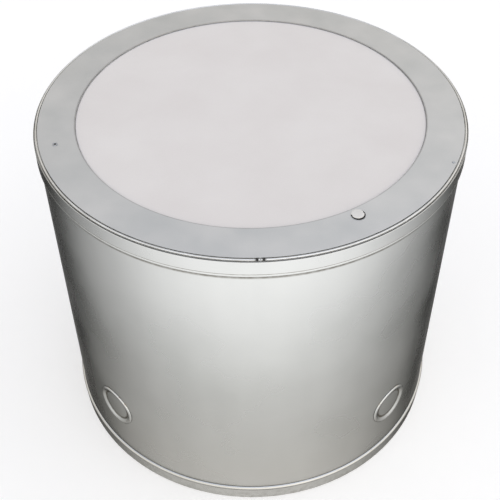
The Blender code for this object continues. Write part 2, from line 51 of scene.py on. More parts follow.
def rounded(corners, closed=True, steps=5):
    """Profile through corners (radius, height, fillet) that runs down the outer side.

    Each corner gives way to the arc that touches both of its sides: the circle's centre lies on
    the bisector, fillet / sin(half angle) away, and the arc starts and ends fillet / tan(half
    angle) from the corner. A point just past each end of the arc keeps the flat's shading flat.
    Returns the points and a mark for each: 1 on an outer corner, which finishes show worn, -1 in an
    inner one, which they darken as painted shade, 0 on a flat.
    """
    spot = np.array(corners, float)
    here, fillet = spot[:, :2], spot[:, 2:3]
    if not closed:
        fillet[[0, -1]] = 0.0
    back, on = np.roll(here, 1, 0) - here, np.roll(here, -1, 0) - here
    back_length = np.linalg.norm(back, axis=1, keepdims=True)
    on_length = np.linalg.norm(on, axis=1, keepdims=True)
    back, on = back / back_length, on / on_length
    half = np.arccos(np.clip((back * on).sum(1, keepdims=True), -1.0, 1.0)) / 2.0
    half = np.clip(half, 0.01, 1.56)
    reach = fillet / np.tan(half)
    bisector = back + on
    bisector /= np.maximum(np.linalg.norm(bisector, axis=1, keepdims=True), 1e-9)
    centre = here + bisector * fillet / np.sin(half)
    start, end = here + back * reach - centre, here + on * reach - centre
    sweep = np.pi - 2.0 * half
    share = np.linspace(0.0, 1.0, steps + 1)[None, :, None]
    arc = (np.sin((1.0 - share) * sweep[:, None]) * start[:, None]
           + np.sin(share * sweep[:, None]) * end[:, None]) / np.sin(sweep)[:, None]
    arc = arc + centre[:, None]
    free_back = np.maximum(back_length - reach - np.roll(reach, 1, 0), 0.0)
    free_on = np.maximum(on_length - reach - np.roll(reach, -1, 0), 0.0)
    hold_back = here + back * (reach + np.minimum(0.8 * fillet, free_back / 3.0))
    hold_on = here + on * (reach + np.minimum(0.8 * fillet, free_on / 3.0))
    points = np.concatenate([hold_back[:, None], arc, hold_on[:, None]], 1)
    turn = np.sign(back[:, 0] * on[:, 1] - back[:, 1] * on[:, 0]) * (fillet[:, 0] > 0)
    wear_and_shade = np.repeat(turn[:, None], steps + 3, 1)
    wear_and_shade[:, [0, -1]] = 0.0
    points, wear_and_shade = points.reshape(-1, 2), wear_and_shade.ravel()
    keep = np.linalg.norm(points - np.roll(points, 1, 0), axis=1) > 1e-7
    if not closed:
        keep[0] = True
    return points[keep], wear_and_shade[keep]


def solid_skin(name, points, faces, wear_and_shade, sharp_deg):
    """Mesh object from points and four-cornered faces.

    Points within a micron are one vertex, a face with two equal neighbouring corners is a
    triangle, and the corner marks, for worn edges and painted shade, are stored at each vertex.
    """
    _, first, inverse = np.unique(
        np.round(points * 1e6), axis=0, return_index=True, return_inverse=True)
    quads = inverse.ravel()[faces]
    same = quads == np.roll(quads, -1, 1)
    count = same.sum(1)
    polygons = quads[count == 0].tolist()
    for corner in range(4):
        short = quads[(count == 1) & same[:, corner]]
        polygons += np.delete(short, corner, 1).tolist()
    mesh = bpy.data.meshes.new(name)
    mesh.from_pydata(points[first].tolist(), [], polygons)
    mesh.attributes.new("wear_and_shade", "FLOAT", "POINT").data.foreach_set("value", wear_and_shade[first])
    mesh.polygons.foreach_set("use_smooth", np.ones(len(mesh.polygons), bool))
    mesh.set_sharp_from_angle(angle=math.radians(sharp_deg))
    piece = bpy.data.objects.new(name, mesh)
    bpy.context.scene.collection.objects.link(piece)
    return piece


def grid_faces(rows, columns, rows_close, columns_close):
    """Four-cornered faces between neighbours of a rows by columns grid of points."""
    index = np.arange(rows * columns).reshape(rows, columns)
    here = index if rows_close else index[:-1]
    there = np.roll(index, -1, 0) if rows_close else index[1:]
    if columns_close:
        here_on, there_on = np.roll(here, -1, 1), np.roll(there, -1, 1)
    else:
        here, here_on = here[:, :-1], here[:, 1:]
        there, there_on = there[:, :-1], there[:, 1:]
    return np.stack([here, here_on, there_on, there], -1).reshape(-1, 4)


def turned(profile, segments=256, closed=True, centre=(0.0, 0.0), outline=None, wrap=None):
    """Points, faces and corner marks of a body turned about an upright axis.

    Profile point (r, z) at angle a goes to (r cos a, r sin a, z) from the centre. An outline
    changes r by its own rule of r and a, and wrap takes the finished points to their place.
    """
    flat, wear_and_shade = profile
    angle = np.linspace(0.0, 2.0 * np.pi, segments, endpoint=False)[:, None]
    radius = np.broadcast_to(flat[None, :, 0], (segments, len(flat)))
    if outline:
        radius = outline(radius, angle)
    height = np.broadcast_to(flat[None, :, 1], radius.shape)
    points = np.stack([
        centre[0] + radius * np.cos(angle), centre[1] + radius * np.sin(angle), height], -1)
    points = points.reshape(-1, 3)
    if wrap:
        points = wrap(points)
    faces = grid_faces(segments, len(flat), True, closed)
    return points, faces, np.tile(wear_and_shade, segments)


def linear(hex_colour):
    """Linear colour of an sRGB hex value: c / 12.92 near black, else ((c + .055) / 1.055) ^ 2.4."""
    c = np.array([int(hex_colour[i:i + 2], 16) for i in (0, 2, 4)]) / 255.0
    lit = np.where(c <= 0.04045, c / 12.92, ((c + 0.055) / 1.055) ** 2.4)
    return (*lit.tolist(), 1.0)


def add(tree, kind, inputs=None, out=0, **settings):
    """Adds a shader node, sets or links its inputs, sets its properties, returns an output."""
    node = tree.nodes.new(f"ShaderNode{kind}")
    for key, value in settings.items():
        setattr(node, key, value)
    for key, value in (inputs or {}).items():
        if isinstance(value, bpy.types.NodeSocket):
            tree.links.new(value, node.inputs[key])
        else:
            node.inputs[key].default_value = value
    return node.outputs[out] if node.outputs else None


def new_finish(name, metallic):
    """Material with one Principled shader, and its tree, shader and Object coordinates."""
    material = bpy.data.materials.new(name)
    material.use_nodes = True
    tree = material.node_tree
    shader = tree.nodes["Principled BSDF"]
    shader.inputs["Metallic"].default_value = metallic
    return material, tree, shader, add(tree, "TexCoord", out="Object")


def sprayed_silver(name, pale, deep, soil_and_shade, bare, edge_on, roughness, cloud_mm, soil_height):
    """Aluminium lacquer, sprayed: clouded where coats overlap, dusty low down, darkened in creases
    by soiling and painted shade, worn at edges.

    Its flakes lie flat, so seen edge-on the coat turns dark: that is the tint of its sheen.
    """
    material, tree, shader, place = new_finish(name, 1.0)
    shader.inputs["Specular Tint"].default_value = linear(edge_on)
    cloud = add(tree, "TexNoise", {"Vector": place, "Scale": 1000.0 / cloud_mm, "Detail": 3.0})
    # The spray gun went up and down, so overlaps leave faint upright bands 70 mm wide.
    upright = add(tree, "Mapping", {"Vector": place, "Scale": (1.0, 1.0, 0.12)})
    bands = add(tree, "TexNoise", {"Vector": upright, "Scale": 1000.0 / 70.0, "Detail": 2.0})
    # The flakes are 0.03 mm wide; they are drawn 1.1 mm wide so that they show.
    flake = add(tree, "TexNoise", {"Vector": place, "Scale": 1000.0 / 1.1, "Detail": 1.0})
    tone = add(tree, "Math", {0: cloud, 1: 1.8, 2: -0.90}, operation="MULTIPLY_ADD")
    tone = add(tree, "Math", {0: bands, 1: 1.2, 2: tone}, operation="MULTIPLY_ADD")
    tone = add(tree, "Math", {0: flake, 1: 0.6, 2: tone}, operation="MULTIPLY_ADD")
    tone = add(tree, "Math", {0: tone, 1: 0.4}, operation="SUBTRACT", use_clamp=True)
    colour = add(tree, "Mix", {0: tone, 6: linear(deep), 7: linear(pale)}, 2, data_type="RGBA")
    # Dust lies in patches on the lowest part. The creases and the lines marked below zero get the
    # same dark colour: partly real soiling, partly painted shade.
    height = add(tree, "SeparateXYZ", {0: place}, "Z")
    patch_noise = add(tree, "TexNoise", {"Vector": place, "Scale": 1000.0 / 9.0, "Detail": 4.0})
    low = add(tree, "MapRange", {"Value": height, "From Min": soil_height, "From Max": 0.0})
    dust = add(tree, "MapRange", {"Value": patch_noise, "From Min": 0.4, "From Max": 0.7, "To Max": 0.4})
    wear_and_shade = add(tree, "Attribute", None, "Fac", attribute_name="wear_and_shade")
    # Painted shade, with some soiling: inner corners and shaded lines are darkened.
    crease_dirt_and_shade = add(tree, "MapRange", {"Value": wear_and_shade, "From Min": -0.1, "From Max": -1.0})
    crease_patchiness = add(tree, "MapRange", {
        "Value": patch_noise, "From Min": 0.35, "From Max": 0.65, "To Min": 0.65, "To Max": 0.95})
    dirt_and_shade = add(tree, "Math", {0: low, 1: dust}, operation="MULTIPLY")
    dirt_and_shade = add(tree, "Math", {0: crease_dirt_and_shade, 1: crease_patchiness, 2: dirt_and_shade}, operation="MULTIPLY_ADD")
    colour = add(tree, "Mix", {0: dirt_and_shade, 6: colour, 7: linear(soil_and_shade)}, 2, data_type="RGBA")
    # Knocks take the lacquer off the outer corners, a few millimetres at a time.
    knocks = add(tree, "TexNoise", {"Vector": place, "Scale": 1000.0 / 6.0, "Detail": 3.0})
    chips = add(tree, "MapRange", {
        "Value": knocks, "From Min": 0.60, "From Max": 0.70, "To Max": 0.7})
    corner = add(tree, "MapRange", {"Value": wear_and_shade, "From Min": 0.2, "From Max": 1.0})
    chips = add(tree, "Math", {0: chips, 1: corner}, operation="MULTIPLY")
    colour = add(tree, "Mix", {0: chips, 6: colour, 7: linear(bare)}, 2, data_type="RGBA")
    tree.links.new(colour, shader.inputs["Base Color"])
    rough = add(tree, "MapRange", {
        "Value": cloud, "From Min": 0.3, "From Max": 0.7, "To Min": roughness - 0.03,
        "To Max": roughness + 0.03})
    rough = add(tree, "Math", {0: dirt_and_shade, 1: 0.15, 2: rough}, operation="MULTIPLY_ADD")
    tree.links.new(rough, shader.inputs["Roughness"])
    # Orange peel, about 3 mm from crest to crest and 0.006 mm deep.
    peel = add(tree, "TexNoise", {"Vector": place, "Scale": 1000.0 / 3.0, "Detail": 1.0})
    bump = add(tree, "Bump", {"Height": peel, "Distance": 0.000006})
    tree.links.new(bump, shader.inputs["Normal"])
    return material


def make(node, solid, material, body, sharp_deg=40.0):
    """Makes the piece that stands for a CAD node, from (points, faces, corner marks), with its
    finish.
    """
    piece = solid_skin(f"{node}_skin", *solid, sharp_deg)
    piece.data.materials.append(material)
    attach(piece, body)
    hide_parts(node)
    return piece


def outside(node):
    """Radius, lowest and highest height of a CAD node turned about the drum's axis."""
    low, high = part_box(node)
    return high.x, low.z, high.z


# Flakes in clear lacquer: a soft silver sheen that turns nearly black where the wall turns away.
BODY_LACQUER = sprayed_silver(
    "aluminium_lacquer_sprayed_on_steel", pale="DBDCDA", deep="D3D4D2", soil_and_shade="7A766E",
    bare="C9C4BB", edge_on="000000", roughness=0.28, cloud_mm=140.0, soil_height=0.030)

formed_radius, _, band_top = outside("base_band")
band_radius = formed_radius - 0.0014
shell_radius, shell_foot, shell_top = outside("shell")
band_inner = shell_radius + 0.0004
lip_inner, lip_thickness = 0.3460, 0.0020
formed_height = band_top - 0.0036
band = rounded([
    (band_inner, band_top, 0.0003),
    (band_radius, band_top - 0.0012, 0.0020),
    (formed_radius, formed_height + 0.0004, 0.0022),
    (formed_radius, formed_height - 0.0016, 0.0018),
    (band_radius, formed_height - 0.0042, 0.0014),
    (band_radius, 0.0, 0.0011),
    (lip_inner, 0.0, 0.0004),
    (lip_inner, lip_thickness, 0.0004),
    (band_inner, lip_thickness, 0.0004),
])
make("base_band", turned(band), BODY_LACQUER, "drum_body")

# --------------------------------------------------------------------------- base plate
# The closed bottom: a pressed steel pan, let in from below and spot welded to the shell by its
# flange. A moulded rubber grommet lines the air vent in its middle.

plate_radius, plate_foot, plate_top = outside("base_plate")
sheet = 0.0015  # the sheet steel of plate, shell and skirt
plate_under = plate_top - sheet
vent_radius = 0.0300
pan = rounded([
    (plate_radius, plate_top, 0.0030),
    (plate_radius, plate_foot, 0.0004),
    (plate_radius - sheet, plate_foot, 0.0004),
    (plate_radius - sheet, plate_under, 0.0015),
    (vent_radius, plate_under, 0.0004),
    (vent_radius, plate_top, 0.0004),
])
make("base_plate", turned(pan), BODY_LACQUER, "drum_body")


def moulded(name, colour, paler, roughness, grain_mm, grain_depth_mm):
    """Moulded rubber or plastic: an even body with a faint cloud, and the mould's fine grain."""
    material, tree, shader, place = new_finish(name, 0.0)
    shader.inputs["IOR"].default_value = 1.5
    cloud = add(tree, "TexNoise", {"Vector": place, "Scale": 1000.0 / 14.0, "Detail": 4.0})
    grain = add(tree, "TexNoise", {"Vector": place, "Scale": 1000.0 / grain_mm, "Detail": 2.0})
    # Handling polishes and pales the outer corners; the inner corners come out darker, which is
    # painted shade.
    wear_and_shade = add(tree, "Attribute", None, "Fac", attribute_name="wear_and_shade")
    share = add(tree, "MapRange", {"Value": cloud, "From Min": 0.3, "From Max": 0.7})
    share = add(tree, "Math", {0: wear_and_shade, 1: 0.4, 2: share}, operation="MULTIPLY_ADD", use_clamp=True)
    colour = add(tree, "Mix", {0: share, 6: linear(colour), 7: linear(paler)}, 2, data_type="RGBA")
    tree.links.new(colour, shader.inputs["Base Color"])
    rough = add(tree, "MapRange", {
        "Value": grain, "From Min": 0.3, "From Max": 0.7, "To Min": roughness - 0.06,
        "To Max": roughness + 0.06})
    tree.links.new(rough, shader.inputs["Roughness"])
    bump = add(tree, "Bump", {"Height": grain, "Distance": grain_depth_mm / 1000.0})
    tree.links.new(bump, shader.inputs["Normal"])
    return material


# Moulded rubber: charcoal and matt, and a little paler where hands have rubbed it.
RUBBER = moulded("black_moulded_rubber", "1B1B1C", "2C2B2A", 0.75, 0.8, 0.03)

gap = 0.0003  # the air between two pieces that touch
grommet_radius, grommet_foot, grommet_top = outside("vent_grommet")
grommet_bore = vent_radius - 0.0050
grommet = rounded([
    (grommet_radius, grommet_top, 0.0012),
    (grommet_radius, plate_top + gap, 0.0008),
    (vent_radius - gap, plate_top + gap, 0.0003),
    (vent_radius - gap, plate_under - gap, 0.0003),
    (grommet_radius, plate_under - gap, 0.0008),
    (grommet_radius, grommet_foot, 0.0012),
    (grommet_bore, grommet_foot, 0.0015),
    (grommet_bore, grommet_top, 0.0015),
])
make("vent_grommet", turned(grommet, 96), RUBBER, "drum_body")

# -------------------------------------------------------------------------------- shell
# The body: 1.5 mm mild steel sheet, rolled to a tube and welded down the back, with four round
# access ports punched near the foot. The weld is ground almost flush, and the sheet keeps faint
# flats from the rolls.

STATIONS = {"front_right": -45.0, "back_right": 45.0, "back_left": 135.0, "front_left": -135.0}


def middle(node):
    """Middle of a CAD node's box."""
    low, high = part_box(node)
    return (low + high) / 2.0


port_height = middle("port_cap_front_left").z
port_hole_radius = 0.0392


def perforated(across, up, holes):
    """Flat sheet on a grid that closes on itself across, with holes.

    Round each hole a square of cells gives way to rings of cells. A ring's points lie on the
    straight lines from the hole's outline to the square's boundary, at the ring's share of the
    way. Returns flat points, faces and how near each point is to a hole, from 1 at its edge.
    """
    layers = np.array([0.0, 0.02, 0.07, 0.18, 0.35, 0.55, 0.78, 1.0])
    columns, rows = len(across), len(up)
    points = [np.stack(np.meshgrid(across, up, indexing="ij"), -1).reshape(-1, 2)]
    index = np.arange(columns * rows).reshape(columns, rows)
    right = np.roll(index, -1, 0)
    cells = np.stack([index[:, :-1], right[:, :-1], right[:, 1:], index[:, 1:]], -1)
    open_cells = np.zeros(cells.shape[:2], bool)
    faces, nearness, start = [], [np.zeros(columns * rows)], columns * rows
    for (left, low, size), outline in holes:
        open_cells[left:left + size, low:low + size] = True
        step, still = np.arange(size), np.full(size, size)
        i = left + np.concatenate([step, still, size - step, 0 * step])
        j = low + np.concatenate([0 * step, step, still, size - step])
        square = np.stack([across[i], up[j]], -1)
        turn = np.arctan2(j - low - size / 2.0, i - left - size / 2.0)
        share = layers[:, None, None]
        rings = outline(turn)[None] * (1.0 - share) + square[None] * share
        points.append(rings.reshape(-1, 2))
        nearness.append(np.repeat(np.clip(1.0 - 12.0 * layers, 0.0, 1.0), 4 * size))
        faces.append(start + grid_faces(len(layers), 4 * size, False, True))
        start += len(layers) * 4 * size
    faces.insert(0, cells[~open_cells].reshape(-1, 4))
    faces[1:] = [ring[:, [0, 3, 2, 1]] for ring in faces[1:]]
    return np.concatenate(points), np.concatenate(faces), np.concatenate(nearness)


def walled(piece, thickness, edge_round):
    """Thickens a sheet inwards from its outer face and rounds its cut edges."""
    solid = piece.modifiers.new("wall", "SOLIDIFY")
    solid.thickness = thickness
    solid.offset = -1.0
    solid.use_even_offset = True
    bevel = piece.modifiers.new("edges", "BEVEL")
    bevel.width = edge_round
    bevel.segments = 2
    bevel.limit_method = "ANGLE"
    bevel.angle_limit = math.radians(50.0)


shell_columns = 256
column_angle = 2.0 * np.pi / shell_columns
patch_cells = 16
cell_height = column_angle * shell_radius
rows_below = 8
port_rows = port_height + cell_height * (np.arange(patch_cells + 1) - patch_cells / 2.0)
skirt_radius, skirt_foot, flange_top = outside("rim_skirt")
# Rows just under the rim's foot carry the line of painted shade there.
shade_line_rows = skirt_foot - np.array([0.0087, 0.0064, 0.0048, 0.0])
shell_rows = np.sort(np.concatenate([
    np.linspace(shell_foot, port_rows[0], rows_below + 1)[:-1], port_rows,
    np.linspace(port_rows[-1], shell_top, 46)[1:], shade_line_rows,
]))
shell_angles = np.arange(shell_columns) * column_angle


def port_outline(degrees):
    """Round hole punched straight inwards: x sideways from its middle is at asin(x / radius)."""
    return lambda turn: np.stack([
        math.radians(degrees % 360.0) + np.arcsin(port_hole_radius * np.cos(turn) / shell_radius),
        port_height + port_hole_radius * np.sin(turn)], -1)


port_patches = [
    ((round((degrees % 360.0) / math.degrees(column_angle)) - patch_cells // 2, rows_below,
      patch_cells), port_outline(degrees))
    for degrees in STATIONS.values()
]
flat_shell, shell_faces, shell_wear_and_shade = perforated(shell_angles, shell_rows, port_patches)
around, up_shell = flat_shell.T
# Painted shade: the shell is darkened from just under the rim's foot upwards, as a shadow line
# under the hem.
shell_wear_and_shade = shell_wear_and_shade - np.interp(
    up_shell, [*shade_line_rows[:3], shell_top], [0.0, 0.7, 1.0, 1.0])
# Rolling flats are a slow inward ripple, 0.03 mm deep, that dies out at both ends and at the
# ports. The ground weld at the back stands out by 0.15 mm, as a bell curve 7 mm wide with a
# ripple every 4.5 mm.
free_height = (np.clip((up_shell - 0.22) / 0.12, 0.0, 1.0)
               * np.clip((shell_top - 0.03 - up_shell) / 0.1, 0.0, 1.0))
ripple = (0.5 + 0.28 * np.sin(5.0 * around + 7.0 * up_shell)
          + 0.22 * np.sin(8.0 * around - 13.0 * up_shell))
ripple = 0.00003 * ripple * free_height
weld_across = (around - np.pi / 2.0) * shell_radius
weld = 0.00015 * np.exp(-(weld_across / 0.0035) ** 2) * (1.0 + 0.25 * np.sin(up_shell * 1400.0))
shell_reach = shell_radius - ripple + weld
shell_points = np.stack([
    shell_reach * np.cos(around), shell_reach * np.sin(around), up_shell], -1)
walled(make("shell", (shell_points, shell_faces, shell_wear_and_shade), BODY_LACQUER,
            "drum_body"), sheet, 0.0003)


def dress(node, material):
    """Gives a CAD node that is kept as it is a finish in all its slots."""
    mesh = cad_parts[node].data
    for place in range(len(mesh.materials)):
        mesh.materials[place] = material


dress("shell_seam_strap", BODY_LACQUER)

# ------------------------------------------------------------------------- bearing ring
# Pressed steel ring, spot welded inside the top of the shell, whose rounded upper edge carries
# the head. It isn't painted: it is plated with bright zinc, as are all of the tensioning parts.


def zinc_plate(name, pale, deep, roughness):
    """Bright zinc plating: a faint crystal mottle a few millimetres wide, and dull finger marks."""
    material, tree, shader, place = new_finish(name, 1.0)
    crystal = add(tree, "TexVoronoi", {"Vector": place, "Scale": 1000.0 / 3.5}, "Color")
    smear = add(tree, "TexNoise", {"Vector": place, "Scale": 1000.0 / 22.0, "Detail": 3.0})
    tone = add(tree, "Math", {0: smear, 1: crystal}, operation="ADD")
    tone = add(tree, "MapRange", {"Value": tone, "From Min": 0.5, "From Max": 1.5})
    colour = add(tree, "Mix", {0: tone, 6: linear(deep), 7: linear(pale)}, 2, data_type="RGBA")
    tree.links.new(colour, shader.inputs["Base Color"])
    rough = add(tree, "MapRange", {
        "Value": smear, "From Min": 0.3, "From Max": 0.7, "To Min": roughness - 0.06,
        "To Max": roughness + 0.12})
    tree.links.new(rough, shader.inputs["Roughness"])
    pits = add(tree, "TexNoise", {"Vector": place, "Scale": 1000.0 / 0.7})
    bump = add(tree, "Bump", {"Height": pits, "Distance": 0.00001})
    tree.links.new(bump, shader.inputs["Normal"])
    return material


# Bright zinc: a cool, bluish shine, broken up by its crystals and dulled by fingers.
ZINC = zinc_plate("bright_zinc_plated_steel", "D3D7DA", "B9BDC2", 0.30)
dress("bearing_ring", ZINC)

# ----------------------------------------------------------------------------- drumhead
# One layer of polyester film, heat formed over the bearing edge, with its collar held in the
# flesh hoop. A sprayed white coating makes it matt and faintly grained.

head_radius, head_foot, head_top = outside("drumhead")
film = 0.0006
bend = 0.0014
film_profile = rounded([
    (0.0, head_top, 0.0),
    (head_radius, head_top, bend),
    (head_radius, head_foot, 0.00025),
    (head_radius - film, head_foot, 0.00025),
    (head_radius - film, head_top - film, bend - film),
    (0.0, head_top - film, 0.0),
], closed=False)


def coated_film(name):
    """Sprayed coating on polyester film: dots of the spray a millimetre wide, faint clouds."""
    material, tree, shader, place = new_finish(name, 0.0)
    shader.inputs["IOR"].default_value = 1.5
    cloud = add(tree, "TexNoise", {"Vector": place, "Scale": 1000.0 / 110.0, "Detail": 3.0})
    # The spray's dots are 0.2 mm wide; they are drawn 1.2 mm wide so that they show.
    dots = add(tree, "TexNoise", {"Vector": place, "Scale": 1000.0 / 1.2})
    tone = add(tree, "Math", {0: cloud, 1: 1.5, 2: dots}, operation="MULTIPLY_ADD")
    tone = add(tree, "MapRange", {"Value": tone, "From Min": 0.9, "From Max": 1.6})
    colour = add(tree, "Mix", {0: tone, 6: linear("E3DFDD"), 7: linear("E9E6E4")}, 2,
                 data_type="RGBA")
    tree.links.new(colour, shader.inputs["Base Color"])
    rough = add(tree, "MapRange", {
        "Value": dots, "From Min": 0.3, "From Max": 0.7, "To Min": 0.5, "To Max": 0.62})
    tree.links.new(rough, shader.inputs["Roughness"])
    bump = add(tree, "Bump", {"Height": dots, "Distance": 0.000015})
    tree.links.new(bump, shader.inputs["Normal"])
    return material


# Coated film: a matt, slightly warm white, even over the whole head.
HEAD_COAT = coated_film("coated_polyester_film")
make("drumhead", turned(film_profile, closed=False), HEAD_COAT, "drum_body")

# --------------------------------------------------------------------------- flesh hoop
# Square aluminium section, rolled and welded to a ring, that grips the head's collar by its
# lower lip. The rim presses on it from above.

hoop_radius, hoop_foot, hoop_top = outside("flesh_hoop")
hoop_inner = head_radius + gap
hoop_lip = hoop_inner - 0.0008
hoop = rounded([
    (hoop_radius, hoop_top, 0.0006),
    (hoop_radius, hoop_foot, 0.0010),
    (hoop_lip, hoop_foot, 0.0005),
    (hoop_lip, head_foot - gap, 0.0003),
    (hoop_inner, head_foot - gap, 0.0002),
    (hoop_inner, hoop_top, 0.0006),
])


def drawn_metal(name, pale, deep, scorch_and_crease_shade, roughness, stretch):
    """Bright drawn or extruded metal: fine lines along it, faint tarnish, dark where the corner
    mark is below zero: a brazing stain by a joint, painted shade in an inner corner.
    """
    material, tree, shader, place = new_finish(name, 1.0)
    along = add(tree, "Mapping", {"Vector": place, "Scale": stretch})
    lines = add(tree, "TexNoise", {"Vector": along, "Scale": 1000.0 / 1.2})
    tarnish = add(tree, "TexNoise", {"Vector": place, "Scale": 1000.0 / 35.0, "Detail": 3.0})
    tone = add(tree, "Math", {0: tarnish, 1: 2.0, 2: lines}, operation="MULTIPLY_ADD")
    tone = add(tree, "MapRange", {"Value": tone, "From Min": 1.1, "From Max": 1.9})
    colour = add(tree, "Mix", {0: tone, 6: linear(deep), 7: linear(pale)}, 2, data_type="RGBA")
    wear_and_shade = add(tree, "Attribute", None, "Fac", attribute_name="wear_and_shade")
    # The dark colour is a brazing stain beside the bead's joint, and painted shade in the hoop's
    # inner corner.
    scorch_and_crease_shade_mask = add(tree, "Math", {0: wear_and_shade, 1: -1.0}, operation="MULTIPLY", use_clamp=True)
    colour = add(tree, "Mix", {0: scorch_and_crease_shade_mask, 6: colour, 7: linear(scorch_and_crease_shade)}, 2, data_type="RGBA")
    tree.links.new(colour, shader.inputs["Base Color"])
    rough = add(tree, "MapRange", {
        "Value": tarnish, "From Min": 0.3, "From Max": 0.7, "To Min": roughness - 0.05,
        "To Max": roughness + 0.08})
    tree.links.new(rough, shader.inputs["Roughness"])
    bump = add(tree, "Bump", {"Height": lines, "Distance": 0.00001})
    tree.links.new(bump, shader.inputs["Normal"])
    return material


# Extruded aluminium: pale and satin, with the die's fine lines along the bar, and grey painted
# shade in its inner corner.
HOOP_METAL = drawn_metal(
    "extruded_aluminium", "DCDDE0", "C6C8CC", "8F8C87", 0.32, (0.1, 0.1, 1.0))
make("flesh_hoop", turned(hoop), HOOP_METAL, "rim")

# ---------------------------------------------------------------------------- rim skirt
# The band that telescopes over the shell: 1.5 mm steel, its top spun inwards to the flange that
# carries ring and bead, its lower edge rolled to a small hem. Lacquered with the shell.

ring_radius, ring_foot, ring_top = outside("rim_ring")
skirt_inner, skirt_face = skirt_radius - sheet, skirt_radius - 0.0003
lip_top, groove, seat = ring_top - 0.0032, ring_top - 0.0052, ring_top - 0.0034
flange_inner, step_radius, seat_radius = 0.3150, 0.3530, 0.3566
skirt = rounded([
    (skirt_face, lip_top, 0.0006),
    (skirt_face, skirt_foot + 0.0044, 0.0014),
    (skirt_radius, skirt_foot + 0.0034, 0.0012),
    (skirt_radius, skirt_foot, 0.0010),
    (skirt_inner, skirt_foot, 0.0004),
    (skirt_inner, groove - sheet, 0.0004),
    (seat_radius - sheet, groove - sheet, 0.0005),
    (seat_radius - sheet, seat - sheet, 0.0004),
    (step_radius - sheet, seat - sheet, 0.0002),
    (step_radius - sheet, flange_top - sheet, 0.0002),
    (flange_inner, flange_top - sheet, 0.0004),
    (flange_inner, flange_top, 0.0004),
    (step_radius, flange_top, 0.0002),
    (step_radius, seat, 0.0002),
    (seat_radius, seat, 0.0004),
    (seat_radius, groove, 0.0005),
    (skirt_inner, groove, 0.0005),
    (skirt_inner, lip_top, 0.0006),
])
eyelet_place, rivet_place = middle("rim_eyelet").xy, middle("rim_rivet").xy
slot_depth, slot_half = 0.0180, 0.0050


def slotted(radius, angle):
    """The flange's inner edge steps back by the slot's depth where the eyelet comes through.

    The step is whole within half the slot's width of the eyelet, sideways, and is gone at twice
    that. It moves only the points within 2 mm of the flange's edge.
    """
    eyelet_angle = math.atan2(eyelet_place.y, eyelet_place.x)
    away = (angle - eyelet_angle + np.pi) % (2 * np.pi) - np.pi
    step = np.clip(2.0 - np.abs(away) * eyelet_place.length / slot_half, 0.0, 1.0)
    return radius + slot_depth * step * np.clip(
        (flange_inner + 0.0020 - radius) / 0.0012, 0.0, 1.0)


make("rim_skirt", turned(skirt, 512, outline=slotted), BODY_LACQUER,
     "rim")

# ----------------------------------------------------------------------------- rim ring
# Flat ring cut from 2.5 mm steel sheet, riveted to the skirt's flange. Sprayed in a duller
# silver than the shell, and marked by hands and mallets.

opening_radius = 0.2920
ring_width = ring_radius - opening_radius
plug_place = middle("ring_plug").xy
plug_hole_radius, eyelet_hole_radius, rivet_hole_radius = 0.0064, 0.0033, 0.0025

ring_columns = 512
ring_angle = 2.0 * np.pi / ring_columns
ring_depths = np.concatenate([
    [0.0, 0.0008, 0.0020], np.linspace(0.0, ring_width, 18)[1:-1],
    ring_width - np.array([0.0024, 0.0014, 0.0007, 0.0])])
ring_depths = np.unique(np.round(ring_depths, 6))


def hole_in_ring(place, hole_radius, cells):
    """Square of cells round a hole in the ring, and the hole's outline by angle and depth."""
    far, bearing = place.length, math.atan2(place.y, place.x) % (2.0 * math.pi)
    left = round(bearing / ring_angle) - cells // 2
    low = int(np.argmin(np.abs(ring_depths - (ring_radius - far)))) - cells // 2

    def outline(turn):
        """A point of a circle about the hole's middle, as (angle, depth from the outer edge)."""
        out = far - hole_radius * np.sin(turn)
        side = hole_radius * np.cos(turn)
        return np.stack([bearing + np.arctan2(side, out), ring_radius - np.hypot(side, out)], -1)

    return (left, low, cells), outline


ring_holes = [
    hole_in_ring(plug_place, plug_hole_radius, 6),
    hole_in_ring(eyelet_place, eyelet_hole_radius, 4),
    hole_in_ring(rivet_place, rivet_hole_radius, 4),
]
flat_ring, ring_faces, ring_wear_and_shade = perforated(
    np.arange(ring_columns) * ring_angle, ring_depths, ring_holes)
turn_ring, deep_ring = flat_ring.T
# Knocks on the outer edge. Along the inner one, beside the head, a dark band that is painted shade,
# with some grime.
inner_edge = ring_width - deep_ring
ring_wear_and_shade = ring_wear_and_shade + np.clip(1.0 - deep_ring / 0.0008, 0.0, 1.0)
# Painted shade: the last millimetres of the ring by the opening are darkened.
ring_wear_and_shade = ring_wear_and_shade - 0.45 * np.clip(1.6 - inner_edge / 0.0014, 0.0, 1.0)
far_ring = ring_radius - deep_ring
# The sheet is not quite flat: a slow wave round the ring, up to 0.16 mm deep.
sag = 0.00008 * (1.0 + np.sin(3.0 * turn_ring + 0.6)) * (0.5 + 0.5 * np.cos(7.0 * turn_ring))
ring_points = np.stack([
    far_ring * np.cos(turn_ring), far_ring * np.sin(turn_ring), ring_top - sag], -1)
# A coarser silver lacquer: duller than the shell's, and still pale when seen edge-on.
RING_LACQUER = sprayed_silver(
    "dull_aluminium_lacquer_on_steel", pale="E8E8E6", deep="D8DAD9", soil_and_shade="84827D",
    bare="D6D6D2", edge_on="B0B0B0", roughness=0.44, cloud_mm=90.0, soil_height=0.001)
walled(make("rim_ring", (ring_points, ring_faces, ring_wear_and_shade), RING_LACQUER,
            "rim"), ring_top - ring_foot, 0.0006)

# ----------------------------------------------------------------------------- rim bead
# Bright steel wire, 3 mm thick, rolled into a hoop and laid on the seat between ring and skirt.
# Its ends are cut square and meet at the front with a gap of about a millimetre.

wire_radius = 0.0015
bead_circle = 0.3554
bead_level = ring_top - 0.0001 - wire_radius
joint_angle = math.radians(-88.0)
joint_half = 0.0006 / bead_circle
